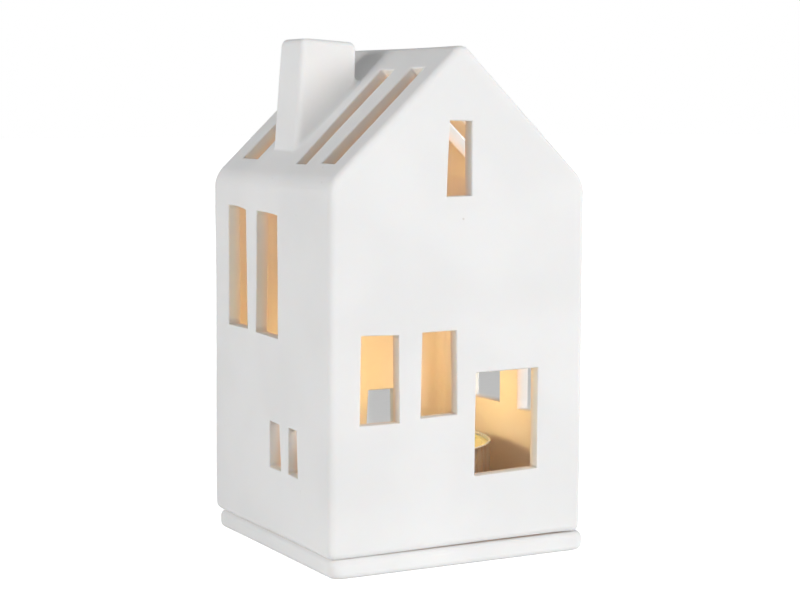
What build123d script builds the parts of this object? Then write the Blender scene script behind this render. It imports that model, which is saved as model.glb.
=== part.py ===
from build123d import *
import os
from dataclasses import dataclass
from math import atan2, cos, radians, sin

# A tealight house: a slip-cast shell of unglazed porcelain that lifts off a loose base plate,
# and a tealight inside it.
# Millimetres. Z is up from the plate's underside, X runs across the gables and Y along the ridge.
# The front gable faces -Y and the chimney stands on the slope that faces -X.

# House shell, from its own foot
shell_w = 58.0
shell_d = 56.6
eave_h = 72.6
ridge_h = 100.1
wall = 2.9
eave_round = 6.0
ridge_round = 2.4
corner_round = 1.7
foot_round = 1.7
inner_round = 2.0
inner_roof_round = 4.0
shell_shift = 0.9

# Chimney: its section just under the roof, and the angles by which each side leans as it rises
chimney_w = 13.8
chimney_d = 11.4
chimney_h = 100.8
chimney_left_lean = 4.2
chimney_right_lean = 1.95
chimney_end_lean = 0.95
chimney_top_tilt = 3.0
chimney_edge_round = 1.4
chimney_foot_round = 0.9
chimney_place_shares = (-0.285, 0.093)

# Openings cut by hand: width and height of each kind
big_window_w = 14.5
big_window_h = 20.6
wide_window_w = 13.0
wide_window_h = 17.5
mid_window_w = 8.1
mid_window_h = 17.2
tall_window_w = 9.6
tall_window_h = 25.0
small_window_w = 4.7
small_window_h = 9.5
attic_window_w = 5.2
attic_window_h = 14.8
slot_w = 6.2
slot_l = 27.2
short_slot_l = 21.8

# Base plate: as deep as the shell and a little wider, with a pad that keeps the shell in place and a
# shallow seat for the tealight
plate_wider = 0.8
plate_t = 3.9
plate_corner_round = 2.9
plate_edge_round = 1.4
pad_h = 2.0
pad_gap = 0.6
pad_corner_round = 4.0
pad_bevel = 0.5
seat_depth = 0.8
seat_gap = 0.8

# Tealight: drawn aluminium cup, wax, and a wick held by a pressed tin foot
cup_rim_r = 19.3
cup_h = 16.3
cup_wall = 0.25
cup_heel = 0.8
hem_r = 0.25
hem_show = 0.15
hem_sides = 6
tealight_shift = 0.5
wax_below_rim = 1.4
wax_gap = 0.1
pool_depth = 0.5
pool_margin = 1.2
sustainer_r = 7.0
sustainer_t = 0.3
neck_r = 1.5
neck_foot_r = 2.7
neck_h = 4.5
neck_flare_h = 1.2
wick_r = 0.8
wick_show = 5.2
wick_lean = 0.7
embed_gap = 0.05

# Cutting: how far a cutter runs past a face, how near counts as on it, and how much of a thickness
# a round may take
overrun = 1.0
near = 0.01
round_limit_share = 0.98

# Places and sizes that follow from the ones above
roof_pitch = atan2(ridge_h - eave_h, shell_w / 2)
roof_drop = wall / cos(roof_pitch)
plate_w = shell_w + plate_wider
plate_d = shell_d
shell_foot_z = plate_t
seat_z = plate_t + pad_h - seat_depth
wax_h = cup_h - cup_wall - wax_below_rim


@dataclass
class Opening:
    """One hand-cut opening: its size, and where it stands on its wall as shares of that wall."""

    width: float
    height: float
    place_shares: tuple
    hand_shares: tuple = (0, 0, 0, 0, 0, 0)
    arch_share: float = 0


# Each wall as seen from outside. place_shares: the opening's middle across the wall, from the wall's
# middle, as a share of its width, and its sill, as a share of its height. hand_shares: how much wider
# and taller than its kind, wider at the head than at the sill, leaning right, and the fall of head and
# sill to the right, as shares of its own width or height.
front_windows = [
    Opening(mid_window_w, mid_window_h, (-0.314, 0.357), (0.03, 0.015, -0.06, 0.01, 0.01, 0)),
    Opening(mid_window_w, mid_window_h, (-0.087, 0.368), (-0.02, -0.016, -0.08, 0, -0.006, -0.02)),
    Opening(big_window_w, big_window_h, (0.182, 0.197), (0, 0, -0.015, 0.01, 0, -0.01)),
    Opening(attic_window_w, attic_window_h, (-0.009, 0.9635), (0, 0, -0.11, 0.06, 0.01, -0.01)),
]
left_windows = [
    Opening(tall_window_w, tall_window_h, (-0.275, 0.5675), (-0.02, 0, -0.12, -0.04, 0.02, 0), 0.012),
    Opening(tall_window_w, tall_window_h, (-0.0155, 0.562), (0.08, 0, -0.06, 0.02, 0.02, 0.01), 0.006),
    Opening(small_window_w, small_window_h, (0.049, 0.191), (0.1, 0, -0.22, -0.02, 0.02, 0)),
    Opening(small_window_w, small_window_h, (0.200, 0.191), (-0.1, 0, -0.19, -0.02, 0.01, 0.02)),
]
right_windows = [
    Opening(mid_window_w, mid_window_h, (-0.188, 0.318), (-0.12, 0, -0.05, 0, 0, 0.02)),
    Opening(wide_window_w, wide_window_h, (0.120, 0.323), (0, 0, -0.02, 0.01, 0.01, 0)),
    Opening(mid_window_w, mid_window_h, (-0.170, 0.655), (0.02, 0, -0.05, 0.02, -0.01, 0.01)),
]
back_windows = [
    Opening(small_window_w, small_window_h, (-0.183, 0.1935), (0.5, 0.03, -0.1, 0, 0.01, 0)),
    Opening(mid_window_w, mid_window_h, (-0.120, 0.600), (-0.04, 0, -0.06, 0.01, 0.01, 0)),
    Opening(mid_window_w, mid_window_h, (0.120, 0.596), (0, 0.02, -0.07, -0.02, 0, 0.01)),
]
left_slots = [
    Opening(slot_w, slot_l, (-0.313, 0.139), (0.22, 0, 0, 0, 0, 0)),
    Opening(slot_w, slot_l, (0.132, 0.127), (-0.13, 0, 0.3, -0.22, 0.01, 0)),
    Opening(slot_w, slot_l, (0.343, 0.136), (-0.06, 0, -0.08, -0.04, 0, 0)),
]
right_slots = [
    Opening(slot_w, slot_l, (-0.166, 0.150), (0.12, 0, -0.04, 0.02, 0, 0)),
    Opening(slot_w, slot_l, (0.058, 0.140), (0.18, 0, 0, 0.01, 0.01, 0)),
    Opening(slot_w, short_slot_l, (0.268, 0.290), (0.08, 0, -0.05, 0, 0, 0)),
]


def walls():
    """Each face of the house that has openings: its plane seen from outside, its width and its height."""
    across, up = sin(roof_pitch), cos(roof_pitch)
    slope_l = shell_w / 2 / cos(roof_pitch)
    front = Plane((0, -shell_d / 2, 0), x_dir=(1, 0, 0), z_dir=(0, -1, 0))
    back = Plane((0, shell_d / 2, 0), x_dir=(-1, 0, 0), z_dir=(0, 1, 0))
    left = Plane((-shell_w / 2, 0, 0), x_dir=(0, -1, 0), z_dir=(-1, 0, 0))
    right = Plane((shell_w / 2, 0, 0), x_dir=(0, 1, 0), z_dir=(1, 0, 0))
    left_roof = Plane((-shell_w / 2, 0, eave_h), x_dir=(0, -1, 0), z_dir=(-across, 0, up))
    right_roof = Plane((shell_w / 2, 0, eave_h), x_dir=(0, 1, 0), z_dir=(across, 0, up))
    return [
        (front, shell_w, eave_h, front_windows),
        (back, shell_w, eave_h, back_windows),
        (left, shell_d, eave_h, left_windows),
        (right, shell_d, eave_h, right_windows),
        (left_roof, shell_d, slope_l, left_slots),
        (right_roof, shell_d, slope_l, right_slots),
    ]


def cut_outline(opening):
    """The outline of an opening: a rectangle whose corners a hand-held blade left a little out of true."""
    wider_share, taller_share, flare_share, lean_share, head_share, sill_share = opening.hand_shares
    w = opening.width * (1 + wider_share)
    h = opening.height * (1 + taller_share)
    foot = w / 2 * (1 - flare_share / 2)
    head = w / 2 * (1 + flare_share / 2)
    lean = w / 2 * lean_share
    head_fall = h / 2 * head_share
    sill_fall = h / 2 * sill_share
    foot_left = (-foot - lean, sill_fall)
    foot_right = (foot - lean, -sill_fall)
    head_right = (head + lean, h - head_fall)
    head_left = (-head + lean, h + head_fall)
    sides = [Polyline(head_left, foot_left, foot_right, head_right)]
    if opening.arch_share:
        sides.append(ThreePointArc(head_right, (lean, h * (1 + opening.arch_share)), head_left))
    else:
        sides.append(Line(head_right, head_left))
    return make_face(Wire(Curve() + sides))


def opening_cutter(plane, across, up, opening):
    """A prism through the wall, square to it, where the opening stands."""
    across_share, up_share = opening.place_shares
    outline = Pos(across * across_share, up * up_share) * cut_outline(opening)
    return extrude(plane * outline, overrun) + extrude(plane * outline, -wall - overrun)


def gable_block(half_w, half_d, foot_z, eave_z, ridge_z, eave_r, ridge_r):
    """A house-shaped block with soft eaves and ridge, cut off square at its foot."""
    wall_feet = [(-half_w, foot_z), (half_w, foot_z)]
    roof_line = [(half_w, eave_z), (0, ridge_z), (-half_w, eave_z)]
    gable = make_face(Polyline(*wall_feet, *roof_line, close=True))
    *_, eave_a, eave_b, ridge = gable.vertices().sort_by(Axis.Y)
    gable = fillet([eave_a, eave_b], eave_r)
    gable = fillet([v for v in gable.vertices() if abs(v.Y - ridge.Y) < near], ridge_r)
    return extrude(Plane.XZ * gable, half_d, both=True)


def outer_form():
    """The outside of the house: its body, softened at the foot, with the chimney on its slope."""
    body = gable_block(shell_w / 2, shell_d / 2, 0, eave_h, ridge_h, eave_round, ridge_round)
    gables = body.faces().sort_by(Axis.Y)
    rims = gables[0].edges() + gables[-1].edges()
    body = fillet([e for e in rims if (e @ 0.5).Z > near], corner_round)
    foot_edges = [e for e in body.edges() if abs((e @ 0.5).Z) < near]
    body = fillet(foot_edges, min(foot_round, wall * round_limit_share))
    stack = chimney_form(0)
    stack = fillet(stack.edges() - stack.faces().sort_by(Axis.Z)[0].edges(), chimney_edge_round)
    outside = body + stack
    return fillet(new_edges(body, stack, combined=outside), chimney_foot_round)


def chimney_form(inset):
    """The chimney: a block trimmed by four leaning sides and a sloping top, all moved in for its hollow."""
    x = shell_w * chimney_place_shares[0]
    y = shell_d * chimney_place_shares[1]
    far_share = (chimney_w / 2 - x) / (shell_w / 2)
    foot_z = ridge_h - (ridge_h - eave_h) * far_share - roof_drop - overrun
    left, right = radians(chimney_left_lean), radians(chimney_right_lean)
    end, top = radians(chimney_end_lean), radians(chimney_top_tilt)
    sides = [
        Plane((x - chimney_w / 2, y, foot_z), z_dir=(-cos(left), 0, sin(left))),
        Plane((x + chimney_w / 2, y, foot_z), z_dir=(cos(right), 0, -sin(right))),
        Plane((x, y - chimney_d / 2, foot_z), z_dir=(0, -cos(end), sin(end))),
        Plane((x, y + chimney_d / 2, foot_z), z_dir=(0, cos(end), sin(end))),
        Plane((x, y, chimney_h), z_dir=(sin(top), 0, cos(top))),
    ]
    stack = Pos(x, y, foot_z) * extrude(Rectangle(shell_w, shell_d), chimney_h)
    for side in sides:
        stack = split(stack, bisect_by=side.offset(-inset), keep=Keep.BOTTOM)
    return stack


def cavity_form():
    """The hollow inside the walls and roof, open below."""
    half_w, half_d = shell_w / 2 - wall, shell_d / 2 - wall
    ridge_z = ridge_h - roof_drop
    eave_z = ridge_z - half_w * sin(roof_pitch) / cos(roof_pitch)
    block = gable_block(half_w, half_d, -overrun, eave_z, ridge_z, inner_roof_round, inner_roof_round)
    plan = RectangleRounded(2 * half_w, 2 * half_d, inner_round)
    return block & Pos(0, 0, -overrun) * extrude(plan, ridge_z + 2 * overrun)


def house_shell():
    """The shell: one cast piece, hollow into the chimney, with every window and roof slot cut through."""
    shell = outer_form() - cavity_form() - chimney_form(wall)
    for plane, across, up, openings in walls():
        for opening in openings:
            shell -= opening_cutter(plane, across, up, opening)
    return Pos(-shell_shift, 0, shell_foot_z) * shell


def base_plate():
    """The plate: soft all round, with a raised pad inside the shell's walls and a round seat in the pad."""
    slab = extrude(RectangleRounded(plate_w, plate_d, plate_corner_round), plate_t)
    rims = slab.faces().sort_by(Axis.Z)[0].edges() + slab.faces().sort_by(Axis.Z)[-1].edges()
    slab = fillet(rims, min(plate_edge_round, plate_t / 2 * round_limit_share))
    play = wall + shell_shift + pad_gap
    pad = extrude(RectangleRounded(shell_w - 2 * play, shell_d - 2 * play, pad_corner_round), pad_h)
    pad = chamfer(pad.faces().sort_by(Axis.Z)[-1].edges(), pad_bevel)
    seat = extrude(Circle(cup_side_r() + seat_gap), seat_depth + overrun)
    return slab + Pos(0, 0, plate_t) * pad - Pos(0, 0, seat_z) * seat


def cup_side_r():
    """The cup's outer radius just under its rolled rim."""
    return cup_rim_r - hem_show


def tub(r, foot_z, top_z, heel):
    """A round tub with its heel cut off at a slant."""
    block = Pos(0, 0, foot_z) * extrude(Circle(r), top_z - foot_z)
    return chamfer(block.faces().sort_by(Axis.Z)[0].edges(), heel)


def tealight_cup():
    """The drawn cup: a thin straight wall, a slanting heel and a small rim rolled outwards."""
    wall_top = cup_h - hem_r
    outside = tub(cup_side_r(), 0, wall_top, cup_heel)
    inside = tub(cup_side_r() - cup_wall, cup_wall, cup_h + overrun, cup_heel)
    roll = Plane.XZ * Pos(cup_rim_r - hem_r, wall_top) * RegularPolygon(hem_r, hem_sides)
    return outside + revolve(roll, Axis.Z) - inside


def sustainer_solid(gap):
    """The tin foot: a disc with a flared neck, grown by a gap where it is used as a cutter."""
    outline = Polyline(
        (0, 0),
        (sustainer_r + gap, 0),
        (sustainer_r + gap, sustainer_t + gap),
        (neck_foot_r + gap, sustainer_t + gap),
        (neck_r + gap, sustainer_t + neck_flare_h + gap),
        (neck_r + gap, sustainer_t + neck_h + gap),
        (0, sustainer_t + neck_h + gap),
        close=True,
    )
    return Pos(0, 0, cup_wall) * revolve(Plane.XZ * make_face(outline), Axis.Z)


def wick_solid(radius):
    """The wick: straight through the wax, its burnt end curling over."""
    foot = cup_wall + sustainer_t
    wax_top = cup_wall + wax_h - pool_depth
    rise = Line((0, 0, foot), (0, 0, wax_top))
    curl = TangentArc((0, 0, wax_top), (wick_lean, 0, wax_top + wick_show), tangent=(0, 0, 1))
    return sweep(Pos(0, 0, foot) * Circle(radius), Wire([rise, curl]))


def wick_sustainer():
    """The tin foot, bored for the wick."""
    return sustainer_solid(0) - wick_solid(wick_r + embed_gap)


def tealight_wax():
    """The wax: fills the cup, with a shallow burning pool, round the wick and its foot."""
    wax_r = cup_side_r() - cup_wall - wax_gap
    block = tub(wax_r, cup_wall, cup_wall + wax_h, cup_heel)
    pool = extrude(Circle(wax_r - pool_margin), pool_depth + overrun)
    block -= Pos(0, 0, cup_wall + wax_h - pool_depth) * pool
    return block - sustainer_solid(embed_gap) - wick_solid(wick_r + embed_gap)


def in_seat(piece):
    """A piece of the tealight, stood on the floor of the plate's seat."""
    return Pos(tealight_shift, 0, seat_z) * piece


def main():
    os.makedirs("parts", exist_ok=True)
    nodes = {
        "base_plate": base_plate(),
        "house_shell": house_shell(),
        "tealight_cup": in_seat(tealight_cup()),
        "tealight_wax": in_seat(tealight_wax()),
        "wick_sustainer": in_seat(wick_sustainer()),
        "wick": in_seat(wick_solid(wick_r)),
    }
    for name, solid in nodes.items():
        export_step(solid, f"parts/{name}.step")


main()
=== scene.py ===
from math import atan2, cos, pi, radians, sin

import bmesh
import bpy
from bpy.props import FloatProperty, FloatVectorProperty, IntProperty, PointerProperty
from mathutils import Matrix, Vector, noise


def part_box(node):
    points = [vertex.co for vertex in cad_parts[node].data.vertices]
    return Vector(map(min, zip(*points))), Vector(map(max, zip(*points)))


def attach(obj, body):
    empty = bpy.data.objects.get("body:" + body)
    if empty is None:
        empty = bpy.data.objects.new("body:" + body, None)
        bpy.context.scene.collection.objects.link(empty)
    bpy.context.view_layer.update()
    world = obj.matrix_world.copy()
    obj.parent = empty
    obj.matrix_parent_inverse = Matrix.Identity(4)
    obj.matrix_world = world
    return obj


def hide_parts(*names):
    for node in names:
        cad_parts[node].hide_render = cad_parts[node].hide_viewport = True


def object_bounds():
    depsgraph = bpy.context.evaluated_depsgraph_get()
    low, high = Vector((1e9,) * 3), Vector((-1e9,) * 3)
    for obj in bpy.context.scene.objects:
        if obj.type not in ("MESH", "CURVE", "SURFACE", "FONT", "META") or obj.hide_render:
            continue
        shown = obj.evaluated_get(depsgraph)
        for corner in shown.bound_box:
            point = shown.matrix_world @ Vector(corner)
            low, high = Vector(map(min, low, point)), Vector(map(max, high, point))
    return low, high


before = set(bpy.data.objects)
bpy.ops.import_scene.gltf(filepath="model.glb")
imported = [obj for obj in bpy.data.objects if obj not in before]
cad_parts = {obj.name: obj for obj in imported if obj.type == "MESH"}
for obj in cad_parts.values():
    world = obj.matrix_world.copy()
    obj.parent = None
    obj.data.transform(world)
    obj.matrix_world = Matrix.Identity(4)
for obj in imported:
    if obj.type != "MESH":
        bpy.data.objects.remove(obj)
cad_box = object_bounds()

bl_info = {
    "name": "Tealight house",
    "version": (1, 0, 0),
    "blender": (4, 5, 0),
    "location": "3D View > Sidebar > Tealight house",
    "description": "Finishes a porcelain tealight house with its plate and candle, and lights it in a studio",
    "category": "Object",
}

MM = 0.001
PER_MM = (1000.0, 1000.0, 1000.0)
# Points nearer than this are one point.
WELD = 0.002 * MM
# Without a seed of its own, Blender's vector noise takes one from the clock.
NOISE_SEED = 11


def linear(hex_colour):
    """An sRGB hex colour as linear red, green and blue."""
    channels = [int(hex_colour[i:i + 2], 16) / 255 for i in (1, 3, 5)]
    return tuple(c / 12.92 if c <= 0.04045 else ((c + 0.055) / 1.055) ** 2.4 for c in channels)


CUP_LOW, CUP_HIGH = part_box("tealight_cup")
CUP_MIDDLE = (CUP_LOW + CUP_HIGH) / 2
WAX_LOW, WAX_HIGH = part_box("tealight_wax")
WICK_LOW, WICK_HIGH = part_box("wick")
SHELL_LOW, SHELL_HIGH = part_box("house_shell")
PLATE_LOW, PLATE_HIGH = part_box("base_plate")
# The CAD's own plain materials are in the file under their slots' names, so this one has another name.
PORCELAIN = "unglazed_porcelain"
# In millimetres: how high the ridge is, how much a roof slope rises for each millimetre across, and how deep
# in from the outer faces the painted warm candle light on the inside begins and is full.
RIDGE_Z = 104.0
ROOF_RISE = 0.948
PAINTED_GLOW_FROM = 0.8
PAINTED_GLOW_FULL = 3.2
# What is added to the floor where it is seen, so that with the lamps' light on it it comes out white.
FLOOR_LIFT = 0.95


class PorcelainSettings(bpy.types.PropertyGroup):
    """The cast shell and its plate."""

    colour: FloatVectorProperty(
        name="Porcelain", description="Colour of the fired, unglazed body", subtype="COLOR",
        size=3, min=0, max=1, default=linear("#ECECEC"))
    shade: FloatVectorProperty(
        name="Clouding", description="Colour that the body drifts towards in patches", subtype="COLOR",
        size=3, min=0, max=1, default=linear("#E8E8E8"))
    speck: FloatVectorProperty(
        name="Specks", description="Colour of the few specks in the clay", subtype="COLOR",
        size=3, min=0, max=1, default=linear("#D0CDC8"))
    # Inside: painted warm candle light, a warmer copy of the porcelain for the inner faces.
    inside: FloatVectorProperty(
        name="Inside", description="Colour of the inner faces, warmed by painted candle light", subtype="COLOR",
        size=3, min=0, max=1, default=linear("#F8E4D4"))
    edge: FloatProperty(
        name="Cut edge", description="Width that the sponge takes off the edge of each cut",
        unit="LENGTH", subtype="DISTANCE", min=0, default=0.3 * MM)
    waver: FloatProperty(
        name="Waver", description="How far drying and firing move a wall",
        unit="LENGTH", subtype="DISTANCE", min=0, default=0.28 * MM)
    waver_length: FloatProperty(
        name="Waver length", description="Length over which a wall moves in and out once",
        unit="LENGTH", subtype="DISTANCE", min=MM, default=24 * MM)
    foot_gap: FloatProperty(
        name="Foot gap", description="How far the foot of the front wall rises off the plate",
        unit="LENGTH", subtype="DISTANCE", min=0, default=0.3 * MM)


class CandleSettings(bpy.types.PropertyGroup):
    """The tealight."""

    wax: FloatVectorProperty(
        name="Wax", description="Colour of the wax", subtype="COLOR",
        size=3, min=0, max=1, default=linear("#FBE7AC"))
    aluminium: FloatVectorProperty(
        name="Aluminium", description="Colour of the cup's bare metal", subtype="COLOR",
        size=3, min=0, max=1, default=linear("#DCDCDD"))
    pleats: IntProperty(
        name="Pleats", description="Upright pleats that drawing leaves in the cup's wall", min=3, default=58)
    pleat_depth: FloatProperty(
        name="Pleat depth", description="How far a pleat stands out of the cup's wall",
        unit="LENGTH", subtype="DISTANCE", min=0, default=0.12 * MM)
    strands: IntProperty(
        name="Strands", description="Strands in the wick's braid, half of them each way", min=2, default=8)
    flame: FloatVectorProperty(
        name="Flame light", description="Colour of the candle's light", subtype="COLOR",
        size=3, min=0, max=1, default=(1.0, 0.88, 0.46))
    flame_power: FloatProperty(
        name="Flame power", description="Strength of the candle's light",
        unit="POWER", subtype="POWER", min=0, default=0.0114)


class StudioSettings(bpy.types.PropertyGroup):
    """Floor, lamps, sky and camera."""

    floor: FloatVectorProperty(
        name="Floor", description="Colour of the floor", subtype="COLOR",
        size=3, min=0, max=1, default=linear("#F2F2F1"))
    key_power: FloatProperty(
        name="Key", description="Strength of the large soft lamp at the front right",
        unit="POWER", subtype="POWER", min=0, default=11.0)
    fill_power: FloatProperty(
        name="Fill", description="Strength of the soft lamp at the left",
        unit="POWER", subtype="POWER", min=0, default=6.39)
    sky: FloatProperty(
        name="Sky", description="Strength of the even light from all round", min=0, default=0.43)
    lens: FloatProperty(
        name="Lens", description="Focal length of the camera", subtype="DISTANCE_CAMERA",
        min=1, default=86.49)


class TealightHouseSettings(bpy.types.PropertyGroup):
    """All that a user would change."""

    porcelain: PointerProperty(type=PorcelainSettings)
    candle: PointerProperty(type=CandleSettings)
    studio: PointerProperty(type=StudioSettings)


def add(tree, kind, values=None, links=None, **settings):
    """Adds one node with its settings, the plain values of its sockets, and what feeds them."""
    made = tree.nodes.new(kind)
    for name, value in settings.items():
        setattr(made, name, value)
    for socket, value in (values or {}).items():
        made.inputs[socket].default_value = value
    for socket, source in (links or {}).items():
        tree.links.new(source, made.inputs[socket])
    return made


def empty_material(name):
    """A material with no nodes yet, and its tree."""
    material = bpy.data.materials.new(name)
    material.use_nodes = True
    material.node_tree.nodes.clear()
    return material, material.node_tree


def millimetres(tree, centre=(0, 0, 0)):
    """The place on the piece in millimetres, from a centre given in metres."""
    place = add(tree, "ShaderNodeTexCoord").outputs["Object"]
    middle = tuple(-c / MM for c in centre)
    scaled = add(tree, "ShaderNodeMapping", {"Scale": PER_MM, "Location": middle}, {"Vector": place})
    return scaled.outputs["Vector"]


def shown_rays(tree):
    """1 on the rays that show a thing as it is: from the camera, off gloss and through glass."""
    ray = add(tree, "ShaderNodeLightPath")
    shown = add(tree, "ShaderNodeMath", None,
                {0: ray.outputs["Is Camera Ray"], 1: ray.outputs["Is Glossy Ray"]}, operation="MAXIMUM")
    shown = add(tree, "ShaderNodeMath", None,
                {0: shown.outputs[0], 1: ray.outputs["Is Transmission Ray"]}, operation="MAXIMUM")
    return shown.outputs[0]


def bisque_porcelain(settings):
    """Unglazed porcelain, slip cast, sponged and fired once: dead matt and even, with a soft edge where
    light goes in a little way, a wall that is not quite flat, and a few specks of the clay."""
    material, tree = empty_material(PORCELAIN)
    place = millimetres(tree)
    # Clouding 26 mm across, which keeps a large wall from looking like paper.
    cloud = add(tree, "ShaderNodeTexNoise", {"Scale": 1 / 26, "Detail": 2.0, "Roughness": 0.5},
                {"Vector": place})
    cloud = add(tree, "ShaderNodeMapRange", {"From Min": 0.35, "From Max": 0.65},
                {"Value": cloud.outputs["Fac"]}, interpolation_type="SMOOTHSTEP")
    body = add(tree, "ShaderNodeMix", {6: (*settings.colour, 1), 7: (*settings.shade, 1)},
               {0: cloud.outputs["Result"]}, data_type="RGBA")
    # Inside, warm candle light is painted into the colour: none at the outer faces, full at the wall's own
    # depth, measured inward from the four walls and the two roof slopes.
    middle = tuple(c / MM for c in (SHELL_LOW + SHELL_HIGH) / 2)
    half = tuple(c / MM for c in (SHELL_HIGH - SHELL_LOW) / 2)
    off = add(tree, "ShaderNodeVectorMath", {1: middle}, {0: place}, operation="SUBTRACT")
    off = add(tree, "ShaderNodeVectorMath", None, {0: off.outputs[0]}, operation="ABSOLUTE")
    depth = add(tree, "ShaderNodeVectorMath", {0: half}, {1: off.outputs[0]}, operation="SUBTRACT")
    depth = add(tree, "ShaderNodeSeparateXYZ", None, {0: depth.outputs[0]})
    height = add(tree, "ShaderNodeSeparateXYZ", None, {0: place})
    across = add(tree, "ShaderNodeSeparateXYZ", None, {0: off.outputs[0]})
    under = add(tree, "ShaderNodeMath", {1: -ROOF_RISE, 2: RIDGE_Z}, {0: across.outputs["X"]},
                operation="MULTIPLY_ADD")
    under = add(tree, "ShaderNodeMath", None, {0: under.outputs[0], 1: height.outputs["Z"]},
                operation="SUBTRACT")
    under = add(tree, "ShaderNodeMath", {1: cos(atan2(ROOF_RISE, 1))}, {0: under.outputs[0]},
                operation="MULTIPLY")
    least = add(tree, "ShaderNodeMath", None, {0: depth.outputs["X"], 1: depth.outputs["Y"]},
                operation="MINIMUM")
    least = add(tree, "ShaderNodeMath", None, {0: least.outputs[0], 1: under.outputs[0]},
                operation="MINIMUM")
    painted_glow = add(tree, "ShaderNodeMapRange", {"From Min": PAINTED_GLOW_FROM, "From Max": PAINTED_GLOW_FULL},
               {"Value": least.outputs[0]}, interpolation_type="SMOOTHSTEP")
    body = add(tree, "ShaderNodeMix", {7: (*settings.inside, 1)},
               {0: painted_glow.outputs["Result"], 6: body.outputs[2]}, data_type="RGBA")
    # Specks 0.3 to 0.5 mm across, one to a few square centimetres, each of its own strength.
    cells = add(tree, "ShaderNodeTexVoronoi", {"Scale": 1 / 6.5, "Randomness": 1.0}, {"Vector": place})
    dot = add(tree, "ShaderNodeMapRange",
              {"From Min": 0.028, "From Max": 0.045, "To Min": 1.0, "To Max": 0.0},
              {"Value": cells.outputs["Distance"]}, interpolation_type="SMOOTHSTEP")
    chance = add(tree, "ShaderNodeSeparateColor", None, {"Color": cells.outputs["Color"]})
    chance = add(tree, "ShaderNodeMapRange", {"From Min": 0.2, "From Max": 1.0, "To Max": 0.75},
                 {"Value": chance.outputs["Red"]})
    dot = add(tree, "ShaderNodeMath", None, {0: dot.outputs["Result"], 1: chance.outputs["Result"]},
              operation="MULTIPLY")
    body = add(tree, "ShaderNodeMix", {7: (*settings.speck, 1)}, {0: dot.outputs[0], 6: body.outputs[2]},
               data_type="RGBA")
    # The cast wall is out of flat by a few hundredths of a millimetre over 11 mm.
    swell = add(tree, "ShaderNodeTexNoise", {"Scale": 1 / 11, "Detail": 1.0}, {"Vector": place})
    swell = add(tree, "ShaderNodeBump", {"Distance": 0.09 * MM}, {"Height": swell.outputs["Fac"]})
    # Sponged grain is under 0.1 mm, too fine to show, so it is drawn 0.45 mm across.
    grain = add(tree, "ShaderNodeTexNoise", {"Scale": 1 / 0.45, "Detail": 2.0, "Roughness": 0.6},
                {"Vector": place})
    grain = add(tree, "ShaderNodeBump", {"Distance": 0.012 * MM},
                {"Height": grain.outputs["Fac"], "Normal": swell.outputs["Normal"]})
    surface = add(tree, "ShaderNodeBsdfPrincipled",
                  {"Roughness": 0.92, "IOR": 1.5, "Specular IOR Level": 0.3, "Subsurface Weight": 0.35,
                   "Subsurface Radius": (1.0, 0.75, 0.6), "Subsurface Scale": 1.3 * MM},
                  {"Base Color": body.outputs[2], "Normal": grain.outputs["Normal"]})
    add(tree, "ShaderNodeOutputMaterial", None, {"Surface": surface.outputs[0]})
    return material


def drawn_aluminium(settings):
    """Thin bare aluminium, drawn in a press: bright, with fine upright lines that the die leaves."""
    material, tree = empty_material("drawn_aluminium")
    place = millimetres(tree, centre=CUP_MIDDLE)
    # Die lines 0.35 mm apart, up to 12 mm long.
    lines = add(tree, "ShaderNodeMapping", {"Scale": (1 / 0.35, 1 / 0.35, 1 / 12)}, {"Vector": place})
    lines = add(tree, "ShaderNodeTexNoise", {"Scale": 1.0, "Detail": 2.0},
                {"Vector": lines.outputs["Vector"]})
    rough = add(tree, "ShaderNodeMapRange",
                {"From Min": 0.3, "From Max": 0.7, "To Min": 0.24, "To Max": 0.4},
                {"Value": lines.outputs["Fac"]})
    line_bump = add(tree, "ShaderNodeBump", {"Distance": 0.02 * MM}, {"Height": lines.outputs["Fac"]})
    surface = add(tree, "ShaderNodeBsdfPrincipled", {"Base Color": (*settings.aluminium, 1), "Metallic": 1.0},
                  {"Roughness": rough.outputs["Result"], "Normal": line_bump.outputs["Normal"]})
    add(tree, "ShaderNodeOutputMaterial", None, {"Surface": surface.outputs[0]})
    return material


def paraffin_wax(settings, pool_r):
    """Paraffin wax: cloudy and deep where it is solid, wet and smooth where the flame has melted it."""
    material, tree = empty_material("paraffin_wax")
    place = millimetres(tree, centre=CUP_MIDDLE)
    flat = add(tree, "ShaderNodeVectorMath", {1: (1.0, 1.0, 0.0)}, {0: place}, operation="MULTIPLY")
    out = add(tree, "ShaderNodeVectorMath", None, {0: flat.outputs[0]}, operation="LENGTH")
    solid = add(tree, "ShaderNodeMapRange", {"From Min": pool_r / MM - 0.4, "From Max": pool_r / MM + 0.3},
                {"Value": out.outputs["Value"]}, interpolation_type="SMOOTHSTEP")
    rough = add(tree, "ShaderNodeMapRange", {"To Min": 0.07, "To Max": 0.48},
                {"Value": solid.outputs["Result"]})
    # Crystals of cooled wax, 0.8 mm across, only where it is solid.
    crystal = add(tree, "ShaderNodeTexNoise", {"Scale": 1 / 0.8, "Detail": 3.0}, {"Vector": place})
    height = add(tree, "ShaderNodeMath", None, {0: crystal.outputs["Fac"], 1: solid.outputs["Result"]},
                 operation="MULTIPLY")
    bump = add(tree, "ShaderNodeBump", {"Distance": 0.03 * MM}, {"Height": height.outputs[0]})
    surface = add(tree, "ShaderNodeBsdfPrincipled",
                  {"Base Color": (*settings.wax, 1), "IOR": 1.44, "Subsurface Weight": 0.95,
                   "Subsurface Radius": (1.0, 0.85, 0.45), "Subsurface Scale": 3.2 * MM},
                  {"Roughness": rough.outputs["Result"], "Normal": bump.outputs["Normal"]})
    add(tree, "ShaderNodeOutputMaterial", None, {"Surface": surface.outputs[0]})
    return material


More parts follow.
